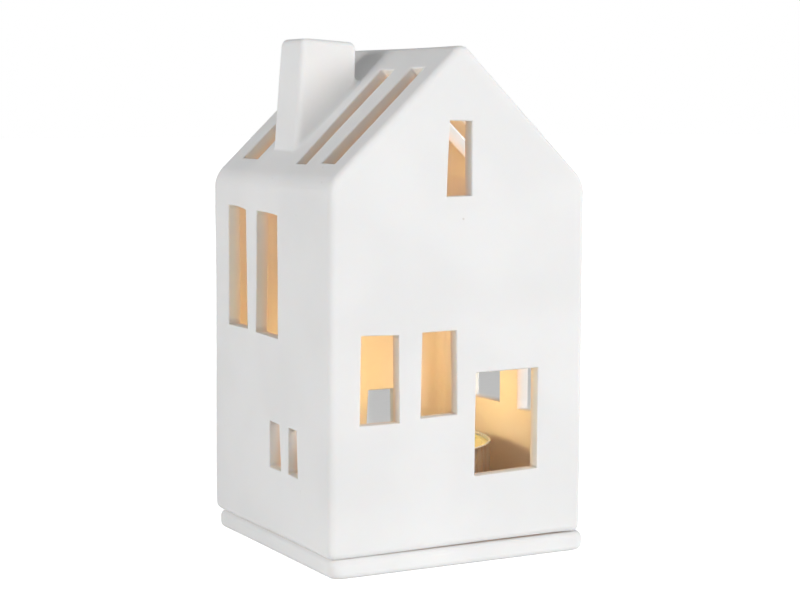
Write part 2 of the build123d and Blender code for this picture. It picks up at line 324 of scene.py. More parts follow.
def braided_cotton(char_z, ember_z):
    """Cotton wick: waxed cream braid below, black char above the pool, and a faint ember at the tip."""
    material, tree = empty_material("braided_cotton")
    place = millimetres(tree)
    height = add(tree, "ShaderNodeSeparateXYZ", None, {"Vector": place})
    # Fibres 0.06 mm across are drawn 0.2 mm across, so that the braid does not look like wire.
    fibre = add(tree, "ShaderNodeTexNoise", {"Scale": 1 / 0.2, "Detail": 3.0, "Roughness": 0.7},
                {"Vector": place})
    ragged = add(tree, "ShaderNodeMath", {1: 0.9}, {0: fibre.outputs["Fac"], 2: height.outputs["Z"]},
                 operation="MULTIPLY_ADD")
    char = add(tree, "ShaderNodeMapRange", {"From Min": char_z / MM, "From Max": char_z / MM + 0.9},
               {"Value": ragged.outputs[0]}, interpolation_type="SMOOTHSTEP")
    colour = add(tree, "ShaderNodeMix", {6: (*linear("#DCCCA6"), 1), 7: (*linear("#1A1512"), 1)},
                 {0: char.outputs["Result"]}, data_type="RGBA")
    ember = add(tree, "ShaderNodeMapRange",
                {"From Min": ember_z / MM, "From Max": ember_z / MM + 0.7, "To Max": 2.5},
                {"Value": height.outputs["Z"]})
    bump = add(tree, "ShaderNodeBump", {"Distance": 0.05 * MM}, {"Height": fibre.outputs["Fac"]})
    surface = add(tree, "ShaderNodeBsdfPrincipled",
                  {"Roughness": 0.8, "Sheen Weight": 0.15, "Emission Color": (*linear("#FF6A22"), 1)},
                  {"Base Color": colour.outputs[2], "Emission Strength": ember.outputs["Result"],
                   "Normal": bump.outputs["Normal"]})
    add(tree, "ShaderNodeOutputMaterial", None, {"Surface": surface.outputs[0]})
    return material


def tin_plate():
    """Thin tinned steel, pressed: a soft shine, dulled in patches by wax and handling."""
    material, tree = empty_material("tin_plate")
    place = millimetres(tree)
    dull = add(tree, "ShaderNodeTexNoise", {"Scale": 1 / 2.2, "Detail": 3.0}, {"Vector": place})
    rough = add(tree, "ShaderNodeMapRange",
                {"From Min": 0.3, "From Max": 0.7, "To Min": 0.25, "To Max": 0.45},
                {"Value": dull.outputs["Fac"]})
    colour = add(tree, "ShaderNodeMix", {6: (*linear("#C6C8CA"), 1), 7: (*linear("#B2B2B0"), 1)},
                 {0: dull.outputs["Fac"]}, data_type="RGBA")
    # Press marks 0.5 mm across.
    marks = add(tree, "ShaderNodeTexNoise", {"Scale": 1 / 0.5, "Detail": 1.0}, {"Vector": place})
    bump = add(tree, "ShaderNodeBump", {"Distance": 0.015 * MM}, {"Height": marks.outputs["Fac"]})
    surface = add(tree, "ShaderNodeBsdfPrincipled", {"Metallic": 1.0},
                  {"Base Color": colour.outputs[2], "Roughness": rough.outputs["Result"],
                   "Normal": bump.outputs["Normal"]})
    add(tree, "ShaderNodeOutputMaterial", None, {"Surface": surface.outputs[0]})
    return material


def studio_floor(settings):
    """Matt white paper. It is lifted to white where it is seen, except along a painted streak of shade behind
    the house, whose grey shows through the windows, and it keeps the shadow of the object."""
    material, tree = empty_material("studio_floor")
    place = add(tree, "ShaderNodeTexCoord").outputs["Object"]
    # The painted streak of shade is an oval, given by its middle, turn and half sizes. It is full in its inner
    # 70 %.
    shade = add(tree, "ShaderNodeMapping",
                {"Location": (0.119, 0.178, 0), "Rotation": (0, 0, radians(-30.3)),
                 "Scale": (0.039, 0.2, 1.0)},
                {"Vector": place}, vector_type="TEXTURE")
    away = add(tree, "ShaderNodeVectorMath", None, {0: shade.outputs["Vector"]}, operation="LENGTH")
    outside_painted_streak = add(tree, "ShaderNodeMapRange", {"From Min": 0.7, "From Max": 1.0},
              {"Value": away.outputs["Value"]}, interpolation_type="SMOOTHSTEP")
    # Paper fibre, 3 mm across, only just there.
    fibre = add(tree, "ShaderNodeTexNoise", {"Scale": 1 / (3 * MM), "Detail": 2.0}, {"Vector": place})
    paper = add(tree, "ShaderNodeMix", {6: (*settings.floor, 1), 7: (*linear("#EDEDEC"), 1)},
                {0: fibre.outputs["Fac"]}, data_type="RGBA")
    sheet = add(tree, "ShaderNodeBsdfDiffuse", {"Roughness": 0.3}, {"Color": paper.outputs[2]})
    lift = add(tree, "ShaderNodeMath", None, {0: shown_rays(tree), 1: outside_painted_streak.outputs["Result"]},
               operation="MULTIPLY")
    lift = add(tree, "ShaderNodeMath", {1: FLOOR_LIFT}, {0: lift.outputs[0]}, operation="MULTIPLY")
    glow = add(tree, "ShaderNodeEmission", {"Color": (1, 1, 1, 1)}, {"Strength": lift.outputs[0]})
    both = add(tree, "ShaderNodeAddShader", None, {0: sheet.outputs[0], 1: glow.outputs[0]})
    add(tree, "ShaderNodeOutputMaterial", None, {"Surface": both.outputs[0]})
    return material


def put_in_order(items, key):
    """Sorts the points or faces of a bmesh, which mesh operators leave in another order on each run."""
    rank = {item: place for place, item in enumerate(sorted(items, key=key))}
    items.sort(key=rank.get)
    items.index_update()


def new_piece(name, form, material):
    """A piece made of a bmesh, which is freed, with its material, linked into the scene."""
    put_in_order(form.verts, lambda v: v.co[:])
    put_in_order(form.faces, lambda f: sorted(v.index for v in f.verts))
    mesh = bpy.data.meshes.new(name)
    form.to_mesh(mesh)
    form.free()
    mesh.materials.append(material)
    piece = bpy.data.objects.new(name, mesh)
    bpy.context.scene.collection.objects.link(piece)
    return piece


def plain_mesh(piece):
    """Turns a piece's modifiers into its own mesh."""
    bpy.context.view_layer.update()
    seen = piece.evaluated_get(bpy.context.evaluated_depsgraph_get())
    mesh = bpy.data.meshes.new_from_object(seen)
    piece.modifiers.clear()
    piece.data = mesh
    return piece


def smooth_by_area(piece, angle):
    """Smooth shading, but for edges sharper than the angle. A large flat face keeps its own direction
    next to a small round one."""
    mesh = piece.data
    mesh.polygons.foreach_set("use_smooth", [True] * len(mesh.polygons))
    mesh.set_sharp_from_angle(angle=angle)
    weigh = piece.modifiers.new("Weigh normals", "WEIGHTED_NORMAL")
    weigh.mode = "FACE_AREA"
    weigh.keep_sharp = True
    return plain_mesh(piece)


def settle(piece, body, slot, *nodes):
    """Puts a finished piece on its body, in place of the CAD nodes that it finishes. The slot is not used."""
    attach(piece, body)
    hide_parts(*nodes)
    return piece


def merged_copy(node_name):
    """A CAD node's form as a bmesh, its loose triangles joined and its flat faces made whole."""
    form = bmesh.new()
    form.from_mesh(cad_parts[node_name].data)
    for layers in (form.loops.layers, form.edges.layers, form.verts.layers):
        for kind in ("float_vector", "float", "int", "bool"):
            for layer in list(getattr(layers, kind)):
                getattr(layers, kind).remove(layer)
    bmesh.ops.remove_doubles(form, verts=form.verts, dist=WELD)
    bmesh.ops.dissolve_limit(form, angle_limit=radians(0.4), verts=form.verts, edges=form.edges)
    return form


def soften_cuts(form, width):
    """Rounds each sharp outward edge, as a damp sponge does to a cut in dry clay."""
    sharp_from = radians(38)
    sharp = [e for e in form.edges
             if len(e.link_faces) == 2 and e.is_convex and e.calc_face_angle() > sharp_from]
    # Loop slide stays off: it folds faces over where an edge of a merged flat wall meets a corner.
    bmesh.ops.bevel(form, geom=sharp, offset=width, offset_type="OFFSET", segments=3, profile=0.5,
                    affect="EDGES", clamp_overlap=False, loop_slide=False)


def slice_up(form, pitch):
    """Cuts a form by planes across each axis, so that its flat walls can bend."""
    bmesh.ops.triangulate(form, faces=form.faces)
    for axis in range(3):
        low = min(v.co[axis] for v in form.verts)
        high = max(v.co[axis] for v in form.verts)
        across = Vector((0, 0, 0))
        across[axis] = 1
        for step in range(1, int((high - low) / pitch)):
            bmesh.ops.bisect_plane(form, geom=form.verts[:] + form.edges[:] + form.faces[:], dist=0.001 * MM,
                                   plane_co=across * (low + step * pitch), plane_no=across)
    bmesh.ops.remove_doubles(form, verts=form.verts, dist=0.005 * MM)


def keep_within(form, low, high):
    """Holds every point inside a box."""
    for v in form.verts:
        for axis in range(3):
            v.co[axis] = min(max(v.co[axis], low[axis]), high[axis])


def unit(value):
    """Holds a value between 0 and 1."""
    return min(max(value, 0), 1)


def waver_walls(form, depth, length):
    """Moves every point of the shell by one smooth, fixed noise with a small ripple on it. Upward
    movement grows from nothing at the foot."""
    start = Vector((3.1, 7.7, 1.3))
    ripple_rate, ripple_share, foot_height = 2.7, 0.12, 8 * MM
    noise.seed_set(NOISE_SEED)
    for v in form.verts:
        p = v.co / length + start
        ripple = noise.noise_vector(p * ripple_rate) * depth * ripple_share
        move = noise.noise_vector(p) * depth + ripple
        rise = unit((v.co.z - SHELL_LOW.z) / foot_height)
        v.co += Vector((move.x, move.y, move.z * rise * rise))


def waver_plate(form, depth, length):
    """Moves every point of the plate sideways by the same kind of noise, but less, as a plate is thick
    for its size. Its faces stay level."""
    start, share = Vector((9.2, 0.4, 5.5)), 0.6
    noise.seed_set(NOISE_SEED)
    for v in form.verts:
        move = noise.noise_vector(v.co / length + start)
        v.co += Vector((move.x, move.y, 0)) * depth * share


def lift_front_foot(form, gap):
    """Lets the foot of the front wall stand a hair off the plate, as a fired foot does. The gap opens
    slowly from the left and closes at the right corner."""
    wall, fade_back, fade_up = 3.2 * MM, 6 * MM, 9 * MM
    opens_at, opens_over, closes_over = 0.12, 0.5, 0.08
    for v in form.verts:
        front = 1 - unit((v.co.y - SHELL_LOW.y - wall) / fade_back)
        low = 1 - unit((v.co.z - SHELL_LOW.z) / fade_up)
        along = (v.co.x - SHELL_LOW.x) / (SHELL_HIGH.x - SHELL_LOW.x)
        share = unit((along - opens_at) / opens_over) * unit((1 - along) / closes_over)
        v.co.z += gap * front * low * share


def porcelain(settings):
    """The one porcelain of shell and plate."""
    return bpy.data.materials.get(PORCELAIN) or bisque_porcelain(settings)


class TEALIGHT_OT_shell(bpy.types.Operator):
    """Finishes the cast shell: sponged cut edges, walls that waver a little, unglazed porcelain"""

    bl_idname = "tealight.shell"
    bl_label = "Porcelain shell"

    def execute(self, context):
        settings = context.scene.tealight_house.porcelain
        form = merged_copy("house_shell")
        soften_cuts(form, width=settings.edge)
        slice_up(form, pitch=2.5 * MM)
        waver_walls(form, settings.waver, settings.waver_length)
        keep_within(form, SHELL_LOW, SHELL_HIGH)
        lift_front_foot(form, settings.foot_gap)
        shell = new_piece("porcelain_shell", form, porcelain(settings))
        settle(smooth_by_area(shell, angle=radians(48)), "house", "bisque_porcelain", "house_shell")
        return {"FINISHED"}


class TEALIGHT_OT_plate(bpy.types.Operator):
    """Finishes the loose plate, with its pad and the candle's seat"""

    bl_idname = "tealight.plate"
    bl_label = "Porcelain plate"

    def execute(self, context):
        settings = context.scene.tealight_house.porcelain
        form = merged_copy("base_plate")
        soften_cuts(form, width=settings.edge * 0.8)
        slice_up(form, pitch=4 * MM)
        waver_plate(form, settings.waver, settings.waver_length)
        keep_within(form, PLATE_LOW, PLATE_HIGH)
        plate = new_piece("porcelain_plate", form, porcelain(settings))
        settle(smooth_by_area(plate, angle=radians(48)), "plate", "bisque_porcelain", "base_plate")
        return {"FINISHED"}


def cup_profile():
    """Half of the cup's section as points out from its axis and up: outside, rolled rim, inside."""
    rim_r = (CUP_HIGH.x - CUP_LOW.x) / 2
    side_r, metal, heel, roll = rim_r - 0.15 * MM, 0.25 * MM, 0.8 * MM, 0.25 * MM
    foot, top = CUP_LOW.z, CUP_HIGH.z
    points = [(0, foot), (side_r * 0.55, foot), (side_r - heel, foot)]
    points += [(side_r - heel + heel * sin(a), foot + heel - heel * cos(a))
               for a in (radians(30), radians(60))]
    rise = top - 2 * roll - foot - heel
    points += [(side_r, foot + heel + rise * i / 16) for i in range(17)]
    points += [(rim_r - roll + roll * cos(a), top - roll + roll * sin(a))
               for a in (radians(d) for d in (-40, -10, 20, 50, 80, 110, 140, 170))]
    inside_r = side_r - metal
    points += [(inside_r, top - 2 * roll - rise * i / 16) for i in range(1, 16)]
    points += [(inside_r - heel * 0.3, foot + metal + heel * 0.3), (inside_r - heel, foot + metal)]
    points += [(inside_r * 0.5, foot + metal), (0, foot + metal)]
    return points


def open_tree(name, line, inputs, result):
    """A Geometry Nodes tree, into which a line, named values and a material go, with what it is given."""
    tree = bpy.data.node_groups.new(name, "GeometryNodeTree")
    for label, kind in ((line, "Geometry"), *inputs, ("Material", "Material")):
        tree.interface.new_socket(label, in_out="INPUT", socket_type="NodeSocket" + kind)
    tree.interface.new_socket(result, in_out="OUTPUT", socket_type="NodeSocketGeometry")
    return tree, add(tree, "NodeGroupInput").outputs


def close_tree(tree, form, material):
    """Ends a tree with its form made real and given its material."""
    whole = add(tree, "GeometryNodeRealizeInstances", None, {"Geometry": form})
    finished = add(tree, "GeometryNodeSetMaterial", None, {"Geometry": whole.outputs[0], "Material": material})
    add(tree, "NodeGroupOutput", None, {0: finished.outputs[0]})
    return tree


def pleated_cup_tree():
    """Spins a section round the cup's axis and pushes its wall out into pleats of uneven depth."""
    tree, given = open_tree("pleated_cup", "Section", (
        ("Pleats", "Int"), ("Steps per pleat", "Int"), ("Pleat depth", "Float"), ("Pleat foot", "Float"),
        ("Pleat top", "Float"), ("Axis", "Vector"), ("Seed", "Float")), "Cup")
    count = add(tree, "GeometryNodeAttributeDomainSize", None, {0: given["Section"]}, component="MESH")
    round_steps = add(tree, "ShaderNodeMath", None, {0: given["Pleats"], 1: given["Steps per pleat"]},
                      operation="MULTIPLY")
    around = add(tree, "ShaderNodeMath", {1: 1.0}, {0: round_steps.outputs[0]}, operation="ADD")
    grid = add(tree, "GeometryNodeMeshGrid", {"Size X": 1.0, "Size Y": 1.0},
               {"Vertices X": around.outputs[0], "Vertices Y": count.outputs["Point Count"]})
    place = add(tree, "ShaderNodeSeparateXYZ", None, {0: add(tree, "GeometryNodeInputPosition").outputs[0]})
    turn = add(tree, "ShaderNodeMath", {1: 2 * pi, 2: pi}, {0: place.outputs["X"]}, operation="MULTIPLY_ADD")
    last = add(tree, "ShaderNodeMath", {1: 1.0}, {0: count.outputs["Point Count"]}, operation="SUBTRACT")
    row = add(tree, "ShaderNodeMath", {1: 0.5}, {0: place.outputs["Y"]}, operation="ADD")
    row = add(tree, "ShaderNodeMath", None, {0: row.outputs[0], 1: last.outputs[0]}, operation="MULTIPLY")
    row = add(tree, "ShaderNodeMath", None, {0: row.outputs[0]}, operation="ROUND")
    point = add(tree, "GeometryNodeSampleIndex", None,
                {"Geometry": given["Section"], "Value": add(tree, "GeometryNodeInputPosition").outputs[0],
                 "Index": row.outputs[0]}, data_type="FLOAT_VECTOR", domain="POINT")
    out_up = add(tree, "ShaderNodeSeparateXYZ", None, {0: point.outputs[0]})
    # Pleats: a rounded wave round the wall, each pleat of its own depth, fading out at the heel and rim.
    wave = add(tree, "ShaderNodeMath", None, {0: turn.outputs[0], 1: given["Pleats"]}, operation="MULTIPLY")
    wave = add(tree, "ShaderNodeMath", None, {0: wave.outputs[0]}, operation="COSINE")
    wave = add(tree, "ShaderNodeMapRange", {"From Min": -1.0, "From Max": 1.0}, {"Value": wave.outputs[0]})
    across = add(tree, "ShaderNodeCombineXYZ", None, {
        "X": add(tree, "ShaderNodeMath", None, {0: turn.outputs[0]}, operation="COSINE").outputs[0],
        "Y": add(tree, "ShaderNodeMath", None, {0: turn.outputs[0]}, operation="SINE").outputs[0]})
    uneven = add(tree, "ShaderNodeTexNoise", {"Scale": 3.2, "Detail": 1.0},
                 {"Vector": across.outputs[0], "W": given["Seed"]}, noise_dimensions="4D")
    depth = add(tree, "ShaderNodeMapRange", {"From Min": 0.32, "From Max": 0.68, "To Min": 0.25},
                {"Value": uneven.outputs["Fac"]})
    up = add(tree, "ShaderNodeMapRange", None,
             {"Value": out_up.outputs["Z"], "From Min": given["Pleat foot"], "From Max": given["Pleat top"]},
             interpolation_type="SMOOTHSTEP")
    # Full depth over most of the wall's height, and none at heel and rim: s * (1 - s) * 8, held at 1,
    # with s from heel to rim.
    rest = add(tree, "ShaderNodeMath", {0: 1.0}, {1: up.outputs["Result"]}, operation="SUBTRACT")
    bulge = add(tree, "ShaderNodeMath", None, {0: up.outputs["Result"], 1: rest.outputs[0]},
                operation="MULTIPLY")
    bulge = add(tree, "ShaderNodeMath", {1: 8.0}, {0: bulge.outputs[0]}, operation="MULTIPLY", use_clamp=True)
    push = add(tree, "ShaderNodeMath", None, {0: wave.outputs["Result"], 1: depth.outputs["Result"]},
               operation="MULTIPLY")
    push = add(tree, "ShaderNodeMath", None, {0: push.outputs[0], 1: bulge.outputs[0]}, operation="MULTIPLY")
    radius = add(tree, "ShaderNodeMath", None,
                 {0: push.outputs[0], 1: given["Pleat depth"], 2: out_up.outputs["X"]},
                 operation="MULTIPLY_ADD")
    wide = add(tree, "ShaderNodeVectorMath", None, {0: across.outputs[0], "Scale": radius.outputs[0]},
               operation="SCALE")
    high = add(tree, "ShaderNodeCombineXYZ", None, {"Z": out_up.outputs["Z"]})
    spot = add(tree, "ShaderNodeVectorMath", None, {0: wide.outputs[0], 1: high.outputs[0]}, operation="ADD")
    spot = add(tree, "ShaderNodeVectorMath", None, {0: spot.outputs[0], 1: given["Axis"]}, operation="ADD")
    moved = add(tree, "GeometryNodeSetPosition", None,
                {"Geometry": grid.outputs["Mesh"], "Position": spot.outputs[0]})
    closed = add(tree, "GeometryNodeMergeByDistance", {"Distance": WELD}, {"Geometry": moved.outputs[0]})
    return close_tree(tree, closed.outputs[0], given["Material"])


def grown(name, points, edges, tree, inputs):
    """A piece that a Geometry Nodes tree grows from a line of points, as a plain closed mesh."""
    line = bpy.data.meshes.new(name)
    line.from_pydata(points, edges, [])
    piece = bpy.data.objects.new(name, line)
    bpy.context.scene.collection.objects.link(piece)
    grow = piece.modifiers.new(tree.name, "NODES")
    grow.node_group = tree
    sockets = {s.name: s.identifier for s in tree.interface.items_tree if s.in_out == "INPUT"}
    for label, value in inputs.items():
        grow[sockets[label]] = value
    plain_mesh(piece)
    form = bmesh.new()
    form.from_mesh(piece.data)
    bmesh.ops.recalc_face_normals(form, faces=form.faces)
    form.to_mesh(piece.data)
    form.free()
    return piece


class TEALIGHT_OT_cup(bpy.types.Operator):
    """Makes the candle's drawn aluminium cup, with its pleated wall and rolled rim"""

    bl_idname = "tealight.cup"
    bl_label = "Aluminium cup"

    def execute(self, context):
        settings = context.scene.tealight_house.candle
        section = cup_profile()
        points = [(r, 0, z) for r, z in section]
        edges = [(i, i + 1) for i in range(len(points) - 1)]
        cup = grown("aluminium_cup", points, edges, pleated_cup_tree(), {
            "Pleats": settings.pleats, "Steps per pleat": 6, "Pleat depth": settings.pleat_depth,
            "Pleat foot": CUP_LOW.z + 0.8 * MM, "Pleat top": CUP_HIGH.z - 0.5 * MM,
            "Axis": (CUP_MIDDLE.x, CUP_MIDDLE.y, 0.0), "Seed": 4.0, "Material": drawn_aluminium(settings)})
        settle(smooth_by_area(cup, angle=radians(50)), "tealight", "cup_aluminium", "tealight_cup")
        return {"FINISHED"}


class TEALIGHT_OT_wax(bpy.types.Operator):
    """Makes the wax, with its melted pool and the rise of wax round wick and rim"""

    bl_idname = "tealight.wax"
    bl_label = "Wax"

    def execute(self, context):
        settings = context.scene.tealight_house.candle
        # The wax stands higher in the cup than the solid does, as it shows through the low window.
        higher, pool_margin, pool_depth = 0.75 * MM, 1.2 * MM, 0.3 * MM
        side_r = (WAX_HIGH.x - WAX_LOW.x) / 2
        foot, top = WAX_LOW.z, WAX_HIGH.z + higher
        pool_r = side_r - pool_margin
        level = top - pool_depth
        section = [(0, foot), (side_r * 0.5, foot), (side_r - 0.8 * MM, foot), (side_r, foot + 0.8 * MM)]
        section += [(side_r, foot + (top - foot) * s) for s in (0.3, 0.6, 0.9)]
        section += [(side_r, top - 0.1 * MM), (side_r - 0.2 * MM, top - 0.02 * MM), (side_r - 0.5 * MM, top)]
        section += [(pool_r + 0.35 * MM, top - 0.03 * MM), (pool_r + 0.1 * MM, top - 0.12 * MM)]
        section += [(pool_r - 0.25 * MM, level + 0.09 * MM), (pool_r - 0.7 * MM, level + 0.02 * MM)]
        section += [(pool_r * s, level) for s in (0.9, 0.75, 0.6, 0.45, 0.3)]
        section += [(3.4 * MM, level), (2.2 * MM, level + 0.03 * MM), (1.5 * MM, level + 0.12 * MM)]
        section += [(1.05 * MM, level + 0.3 * MM), (0.75 * MM, level + 0.5 * MM), (0, level + 0.5 * MM)]
        form = bmesh.new()
        ring = [form.verts.new((CUP_MIDDLE.x + r, CUP_MIDDLE.y, z)) for r, z in section]
        line = [form.edges.new(pair) for pair in zip(ring, ring[1:])]
        bmesh.ops.spin(form, geom=ring + line, cent=(CUP_MIDDLE.x, CUP_MIDDLE.y, 0), axis=(0, 0, 1),
                       angle=2 * pi, steps=112, use_merge=False)
        bmesh.ops.remove_doubles(form, verts=form.verts, dist=WELD)
        # The solid rim round the pool sinks unevenly, by up to this much.
        sunk, sunk_length = 0.12, 4 * MM
        for v in form.verts:
            out = Vector((v.co.x - CUP_MIDDLE.x, v.co.y - CUP_MIDDLE.y, 0)).length
            if v.co.z > level + 0.05 * MM and out > 0.8 * pool_r:
                v.co.z -= (0.5 + 0.5 * noise.noise(v.co / sunk_length)) * sunk * MM
        bmesh.ops.recalc_face_normals(form, faces=form.faces)
        wax = new_piece("candle_wax", form, paraffin_wax(settings, pool_r))
        settle(smooth_by_area(wax, angle=radians(60)), "tealight", "candle_wax", "tealight_wax")
        return {"FINISHED"}


def braid_tree():
    """Lays strands round a line, half of them each way, over and under one another, on a core."""
    tree, given = open_tree("braid", "Line", (
        ("Strands", "Int"), ("Turns", "Float"), ("Braid radius", "Float"), ("Strand radius", "Float"),
        ("Core radius", "Float"), ("Steps", "Int")), "Wick")
    line = add(tree, "GeometryNodeMeshToCurve", None, {"Mesh": given["Line"]})
    line = add(tree, "GeometryNodeResampleCurve", None, {"Curve": line.outputs[0], "Count": given["Steps"]})
    strands = add(tree, "GeometryNodeDuplicateElements", None,
                  {"Geometry": line.outputs[0], "Amount": given["Strands"]}, domain="SPLINE")
    number = strands.outputs["Duplicate Index"]
    along = add(tree, "GeometryNodeSplineParameter").outputs["Factor"]
    odd = add(tree, "ShaderNodeMath", {1: 2.0}, {0: number}, operation="MODULO")
    way = add(tree, "ShaderNodeMath", {1: 2.0, 2: -1.0}, {0: odd.outputs[0]}, operation="MULTIPLY_ADD")
    start = add(tree, "ShaderNodeMath", None, {0: number, 1: given["Strands"]}, operation="DIVIDE")
    turned = add(tree, "ShaderNodeMath", None, {0: along, 1: given["Turns"]}, operation="MULTIPLY")
    turned = add(tree, "ShaderNodeMath", None, {0: turned.outputs[0], 1: way.outputs[0], 2: start.outputs[0]},
                 operation="MULTIPLY_ADD")
    angle = add(tree, "ShaderNodeMath", {1: 2 * pi}, {0: turned.outputs[0]}, operation="MULTIPLY")
    # Over and under: each strand moves out and in once for each pair of strands that it crosses.
    weave = add(tree, "ShaderNodeMath", None, {0: angle.outputs[0], 1: given["Strands"]},
                operation="MULTIPLY")
    weave = add(tree, "ShaderNodeMath", {1: 0.5}, {0: weave.outputs[0]}, operation="MULTIPLY")
    weave = add(tree, "ShaderNodeMath", None, {0: weave.outputs[0]}, operation="SINE")
    weave = add(tree, "ShaderNodeMath", None, {0: weave.outputs[0], 1: way.outputs[0]}, operation="MULTIPLY")
    radius = add(tree, "ShaderNodeMath", {1: 0.12, 2: 1.0}, {0: weave.outputs[0]}, operation="MULTIPLY_ADD")
    radius = add(tree, "ShaderNodeMath", None, {0: radius.outputs[0], 1: given["Braid radius"]},
                 operation="MULTIPLY")
    tangent = add(tree, "GeometryNodeInputTangent").outputs[0]
    side = add(tree, "GeometryNodeInputNormal").outputs[0]
    other = add(tree, "ShaderNodeVectorMath", None, {0: tangent, 1: side}, operation="CROSS_PRODUCT")
    share = add(tree, "ShaderNodeMath", None, {0: angle.outputs[0]}, operation="COSINE")
    other_share = add(tree, "ShaderNodeMath", None, {0: angle.outputs[0]}, operation="SINE")
    sideways = add(tree, "ShaderNodeVectorMath", None, {0: side, "Scale": share.outputs[0]},
                   operation="SCALE")
    otherways = add(tree, "ShaderNodeVectorMath", None,
                    {0: other.outputs[0], "Scale": other_share.outputs[0]}, operation="SCALE")
    out = add(tree, "ShaderNodeVectorMath", None, {0: sideways.outputs[0], 1: otherways.outputs[0]},
              operation="ADD")
    out = add(tree, "ShaderNodeVectorMath", None, {0: out.outputs[0], "Scale": radius.outputs[0]},
              operation="SCALE")
    laid = add(tree, "GeometryNodeSetPosition", None,
               {"Geometry": strands.outputs["Geometry"], "Offset": out.outputs[0]})
    round_strand = add(tree, "GeometryNodeCurvePrimitiveCircle", {"Resolution": 7},
                       {"Radius": given["Strand radius"]})
    round_core = add(tree, "GeometryNodeCurvePrimitiveCircle", {"Resolution": 10},
                     {"Radius": given["Core radius"]})
    thick = add(tree, "GeometryNodeCurveToMesh", {"Fill Caps": True},
                {"Curve": laid.outputs[0], "Profile Curve": round_strand.outputs[0]})
    core = add(tree, "GeometryNodeCurveToMesh", {"Fill Caps": True},
               {"Curve": line.outputs[0], "Profile Curve": round_core.outputs[0]})
    joined = add(tree, "GeometryNodeJoinGeometry", None, {"Geometry": thick.outputs[0]})
    tree.links.new(core.outputs[0], joined.inputs["Geometry"])
    return close_tree(tree, joined.outputs[0], given["Material"])


class TEALIGHT_OT_wick(bpy.types.Operator):
    """Makes the braided cotton wick, burnt at its end, and finishes its tin foot"""

    bl_idname = "tealight.wick"
    bl_label = "Wick and foot"

    def execute(self, context):
        settings = context.scene.tealight_house.candle
        # Straight up to just over the wax, then on an arc that ends below the top of the solid.
        straight_steps, bend_steps, end_room = 24, 12, 0.2 * MM
        pool_z = WAX_HIGH.z + 0.3 * MM
        foot_z = WICK_LOW.z
        wick_r = (WICK_HIGH.y - WICK_LOW.y) / 2
        lean = WICK_HIGH.x - WICK_LOW.x - 2 * wick_r
        rise = WICK_HIGH.z - pool_z - end_room
        bend_r = (lean ** 2 + rise ** 2) / (2 * lean)
        bend = 2 * atan2(lean, rise)
        points = [(CUP_MIDDLE.x, CUP_MIDDLE.y, foot_z + (pool_z - foot_z) * i / straight_steps)
                  for i in range(straight_steps)]
        points += [(CUP_MIDDLE.x + bend_r * (1 - cos(bend * i / bend_steps)), CUP_MIDDLE.y,
                    pool_z + bend_r * sin(bend * i / bend_steps)) for i in range(bend_steps + 1)]
        edges = [(i, i + 1) for i in range(len(points) - 1)]
        wick = grown("braided_wick", points, edges, braid_tree(), {
            "Strands": settings.strands, "Turns": 5.0, "Braid radius": wick_r * 0.72,
            "Strand radius": wick_r * 0.22, "Core radius": wick_r * 0.62, "Steps": 150,
            "Material": braided_cotton(char_z=pool_z + 1.2 * MM, ember_z=WICK_HIGH.z - 0.8 * MM)})
        settle(smooth_by_area(wick, angle=radians(60)), "tealight", "wick_cotton", "wick")
        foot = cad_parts["wick_sustainer"]
        foot.data.materials.clear()
        foot.data.materials.append(tin_plate())
        return {"FINISHED"}


def lamp(name, kind, power, place, target, colour=(1, 1, 1), size=0.1):
    """A lamp at a place, turned towards a target, both in metres."""
    data = bpy.data.lights.new(name, kind)
    data.energy = power
    data.color = colour
    if kind == "AREA":
        data.shape = "DISK"
        data.size = size
    else:
        data.shadow_soft_size = size
    made = bpy.data.objects.new(name, data)
    made.location = place
    made.rotation_mode = "QUATERNION"
    made.rotation_quaternion = (Vector(target) - Vector(place)).to_track_quat("-Z", "Y")
    bpy.context.scene.collection.objects.link(made)
    return made


def towards(azimuth, height, distance):
    """A place at an angle left of the front gable's own direction and an angle above the floor."""
    a, e = radians(azimuth), radians(height)
    return Vector((-sin(a) * cos(e), -cos(a) * cos(e), sin(e))) * distance


def light_sky(strength):
    """Soft light from all round, a little stronger ahead of the gable and weaker overhead, as between
    two white walls. The camera, gloss and glass see plain white."""
    world = bpy.data.worlds.new("studio_sky")
    bpy.context.scene.world = world
    world.use_nodes = True
    tree = world.node_tree
    tree.nodes.clear()
    way = add(tree, "ShaderNodeTexCoord").outputs["Generated"]
    height = add(tree, "ShaderNodeSeparateXYZ", None, {0: way})
    upward = add(tree, "ShaderNodeMapRange", {"To Min": 1.0, "To Max": 0.3},
                 {"Value": height.outputs["Z"]})
    front = tuple(towards(azimuth=15, height=10, distance=1))
    ahead = add(tree, "ShaderNodeVectorMath", {1: front}, {0: way}, operation="DOT_PRODUCT")
    ahead = add(tree, "ShaderNodeMapRange",
                {"From Min": -1.0, "From Max": 1.0, "To Min": 0.7, "To Max": 1.45},
                {"Value": ahead.outputs["Value"]}, interpolation_type="SMOOTHSTEP")
    level = add(tree, "ShaderNodeMath", None, {0: upward.outputs[0], 1: ahead.outputs[0]},
                operation="MULTIPLY")
    level = add(tree, "ShaderNodeMath", {1: strength}, {0: level.outputs[0]}, operation="MULTIPLY")
    light = add(tree, "ShaderNodeBackground", {"Color": (1, 1, 1, 1)}, {"Strength": level.outputs[0]})
    white = add(tree, "ShaderNodeBackground", {"Color": (1, 1, 1, 1), "Strength": 1.0})
    both = add(tree, "ShaderNodeMixShader", None,
               {0: shown_rays(tree), 1: light.outputs[0], 2: white.outputs[0]})
    add(tree, "ShaderNodeOutputWorld", None, {"Surface": both.outputs[0]})


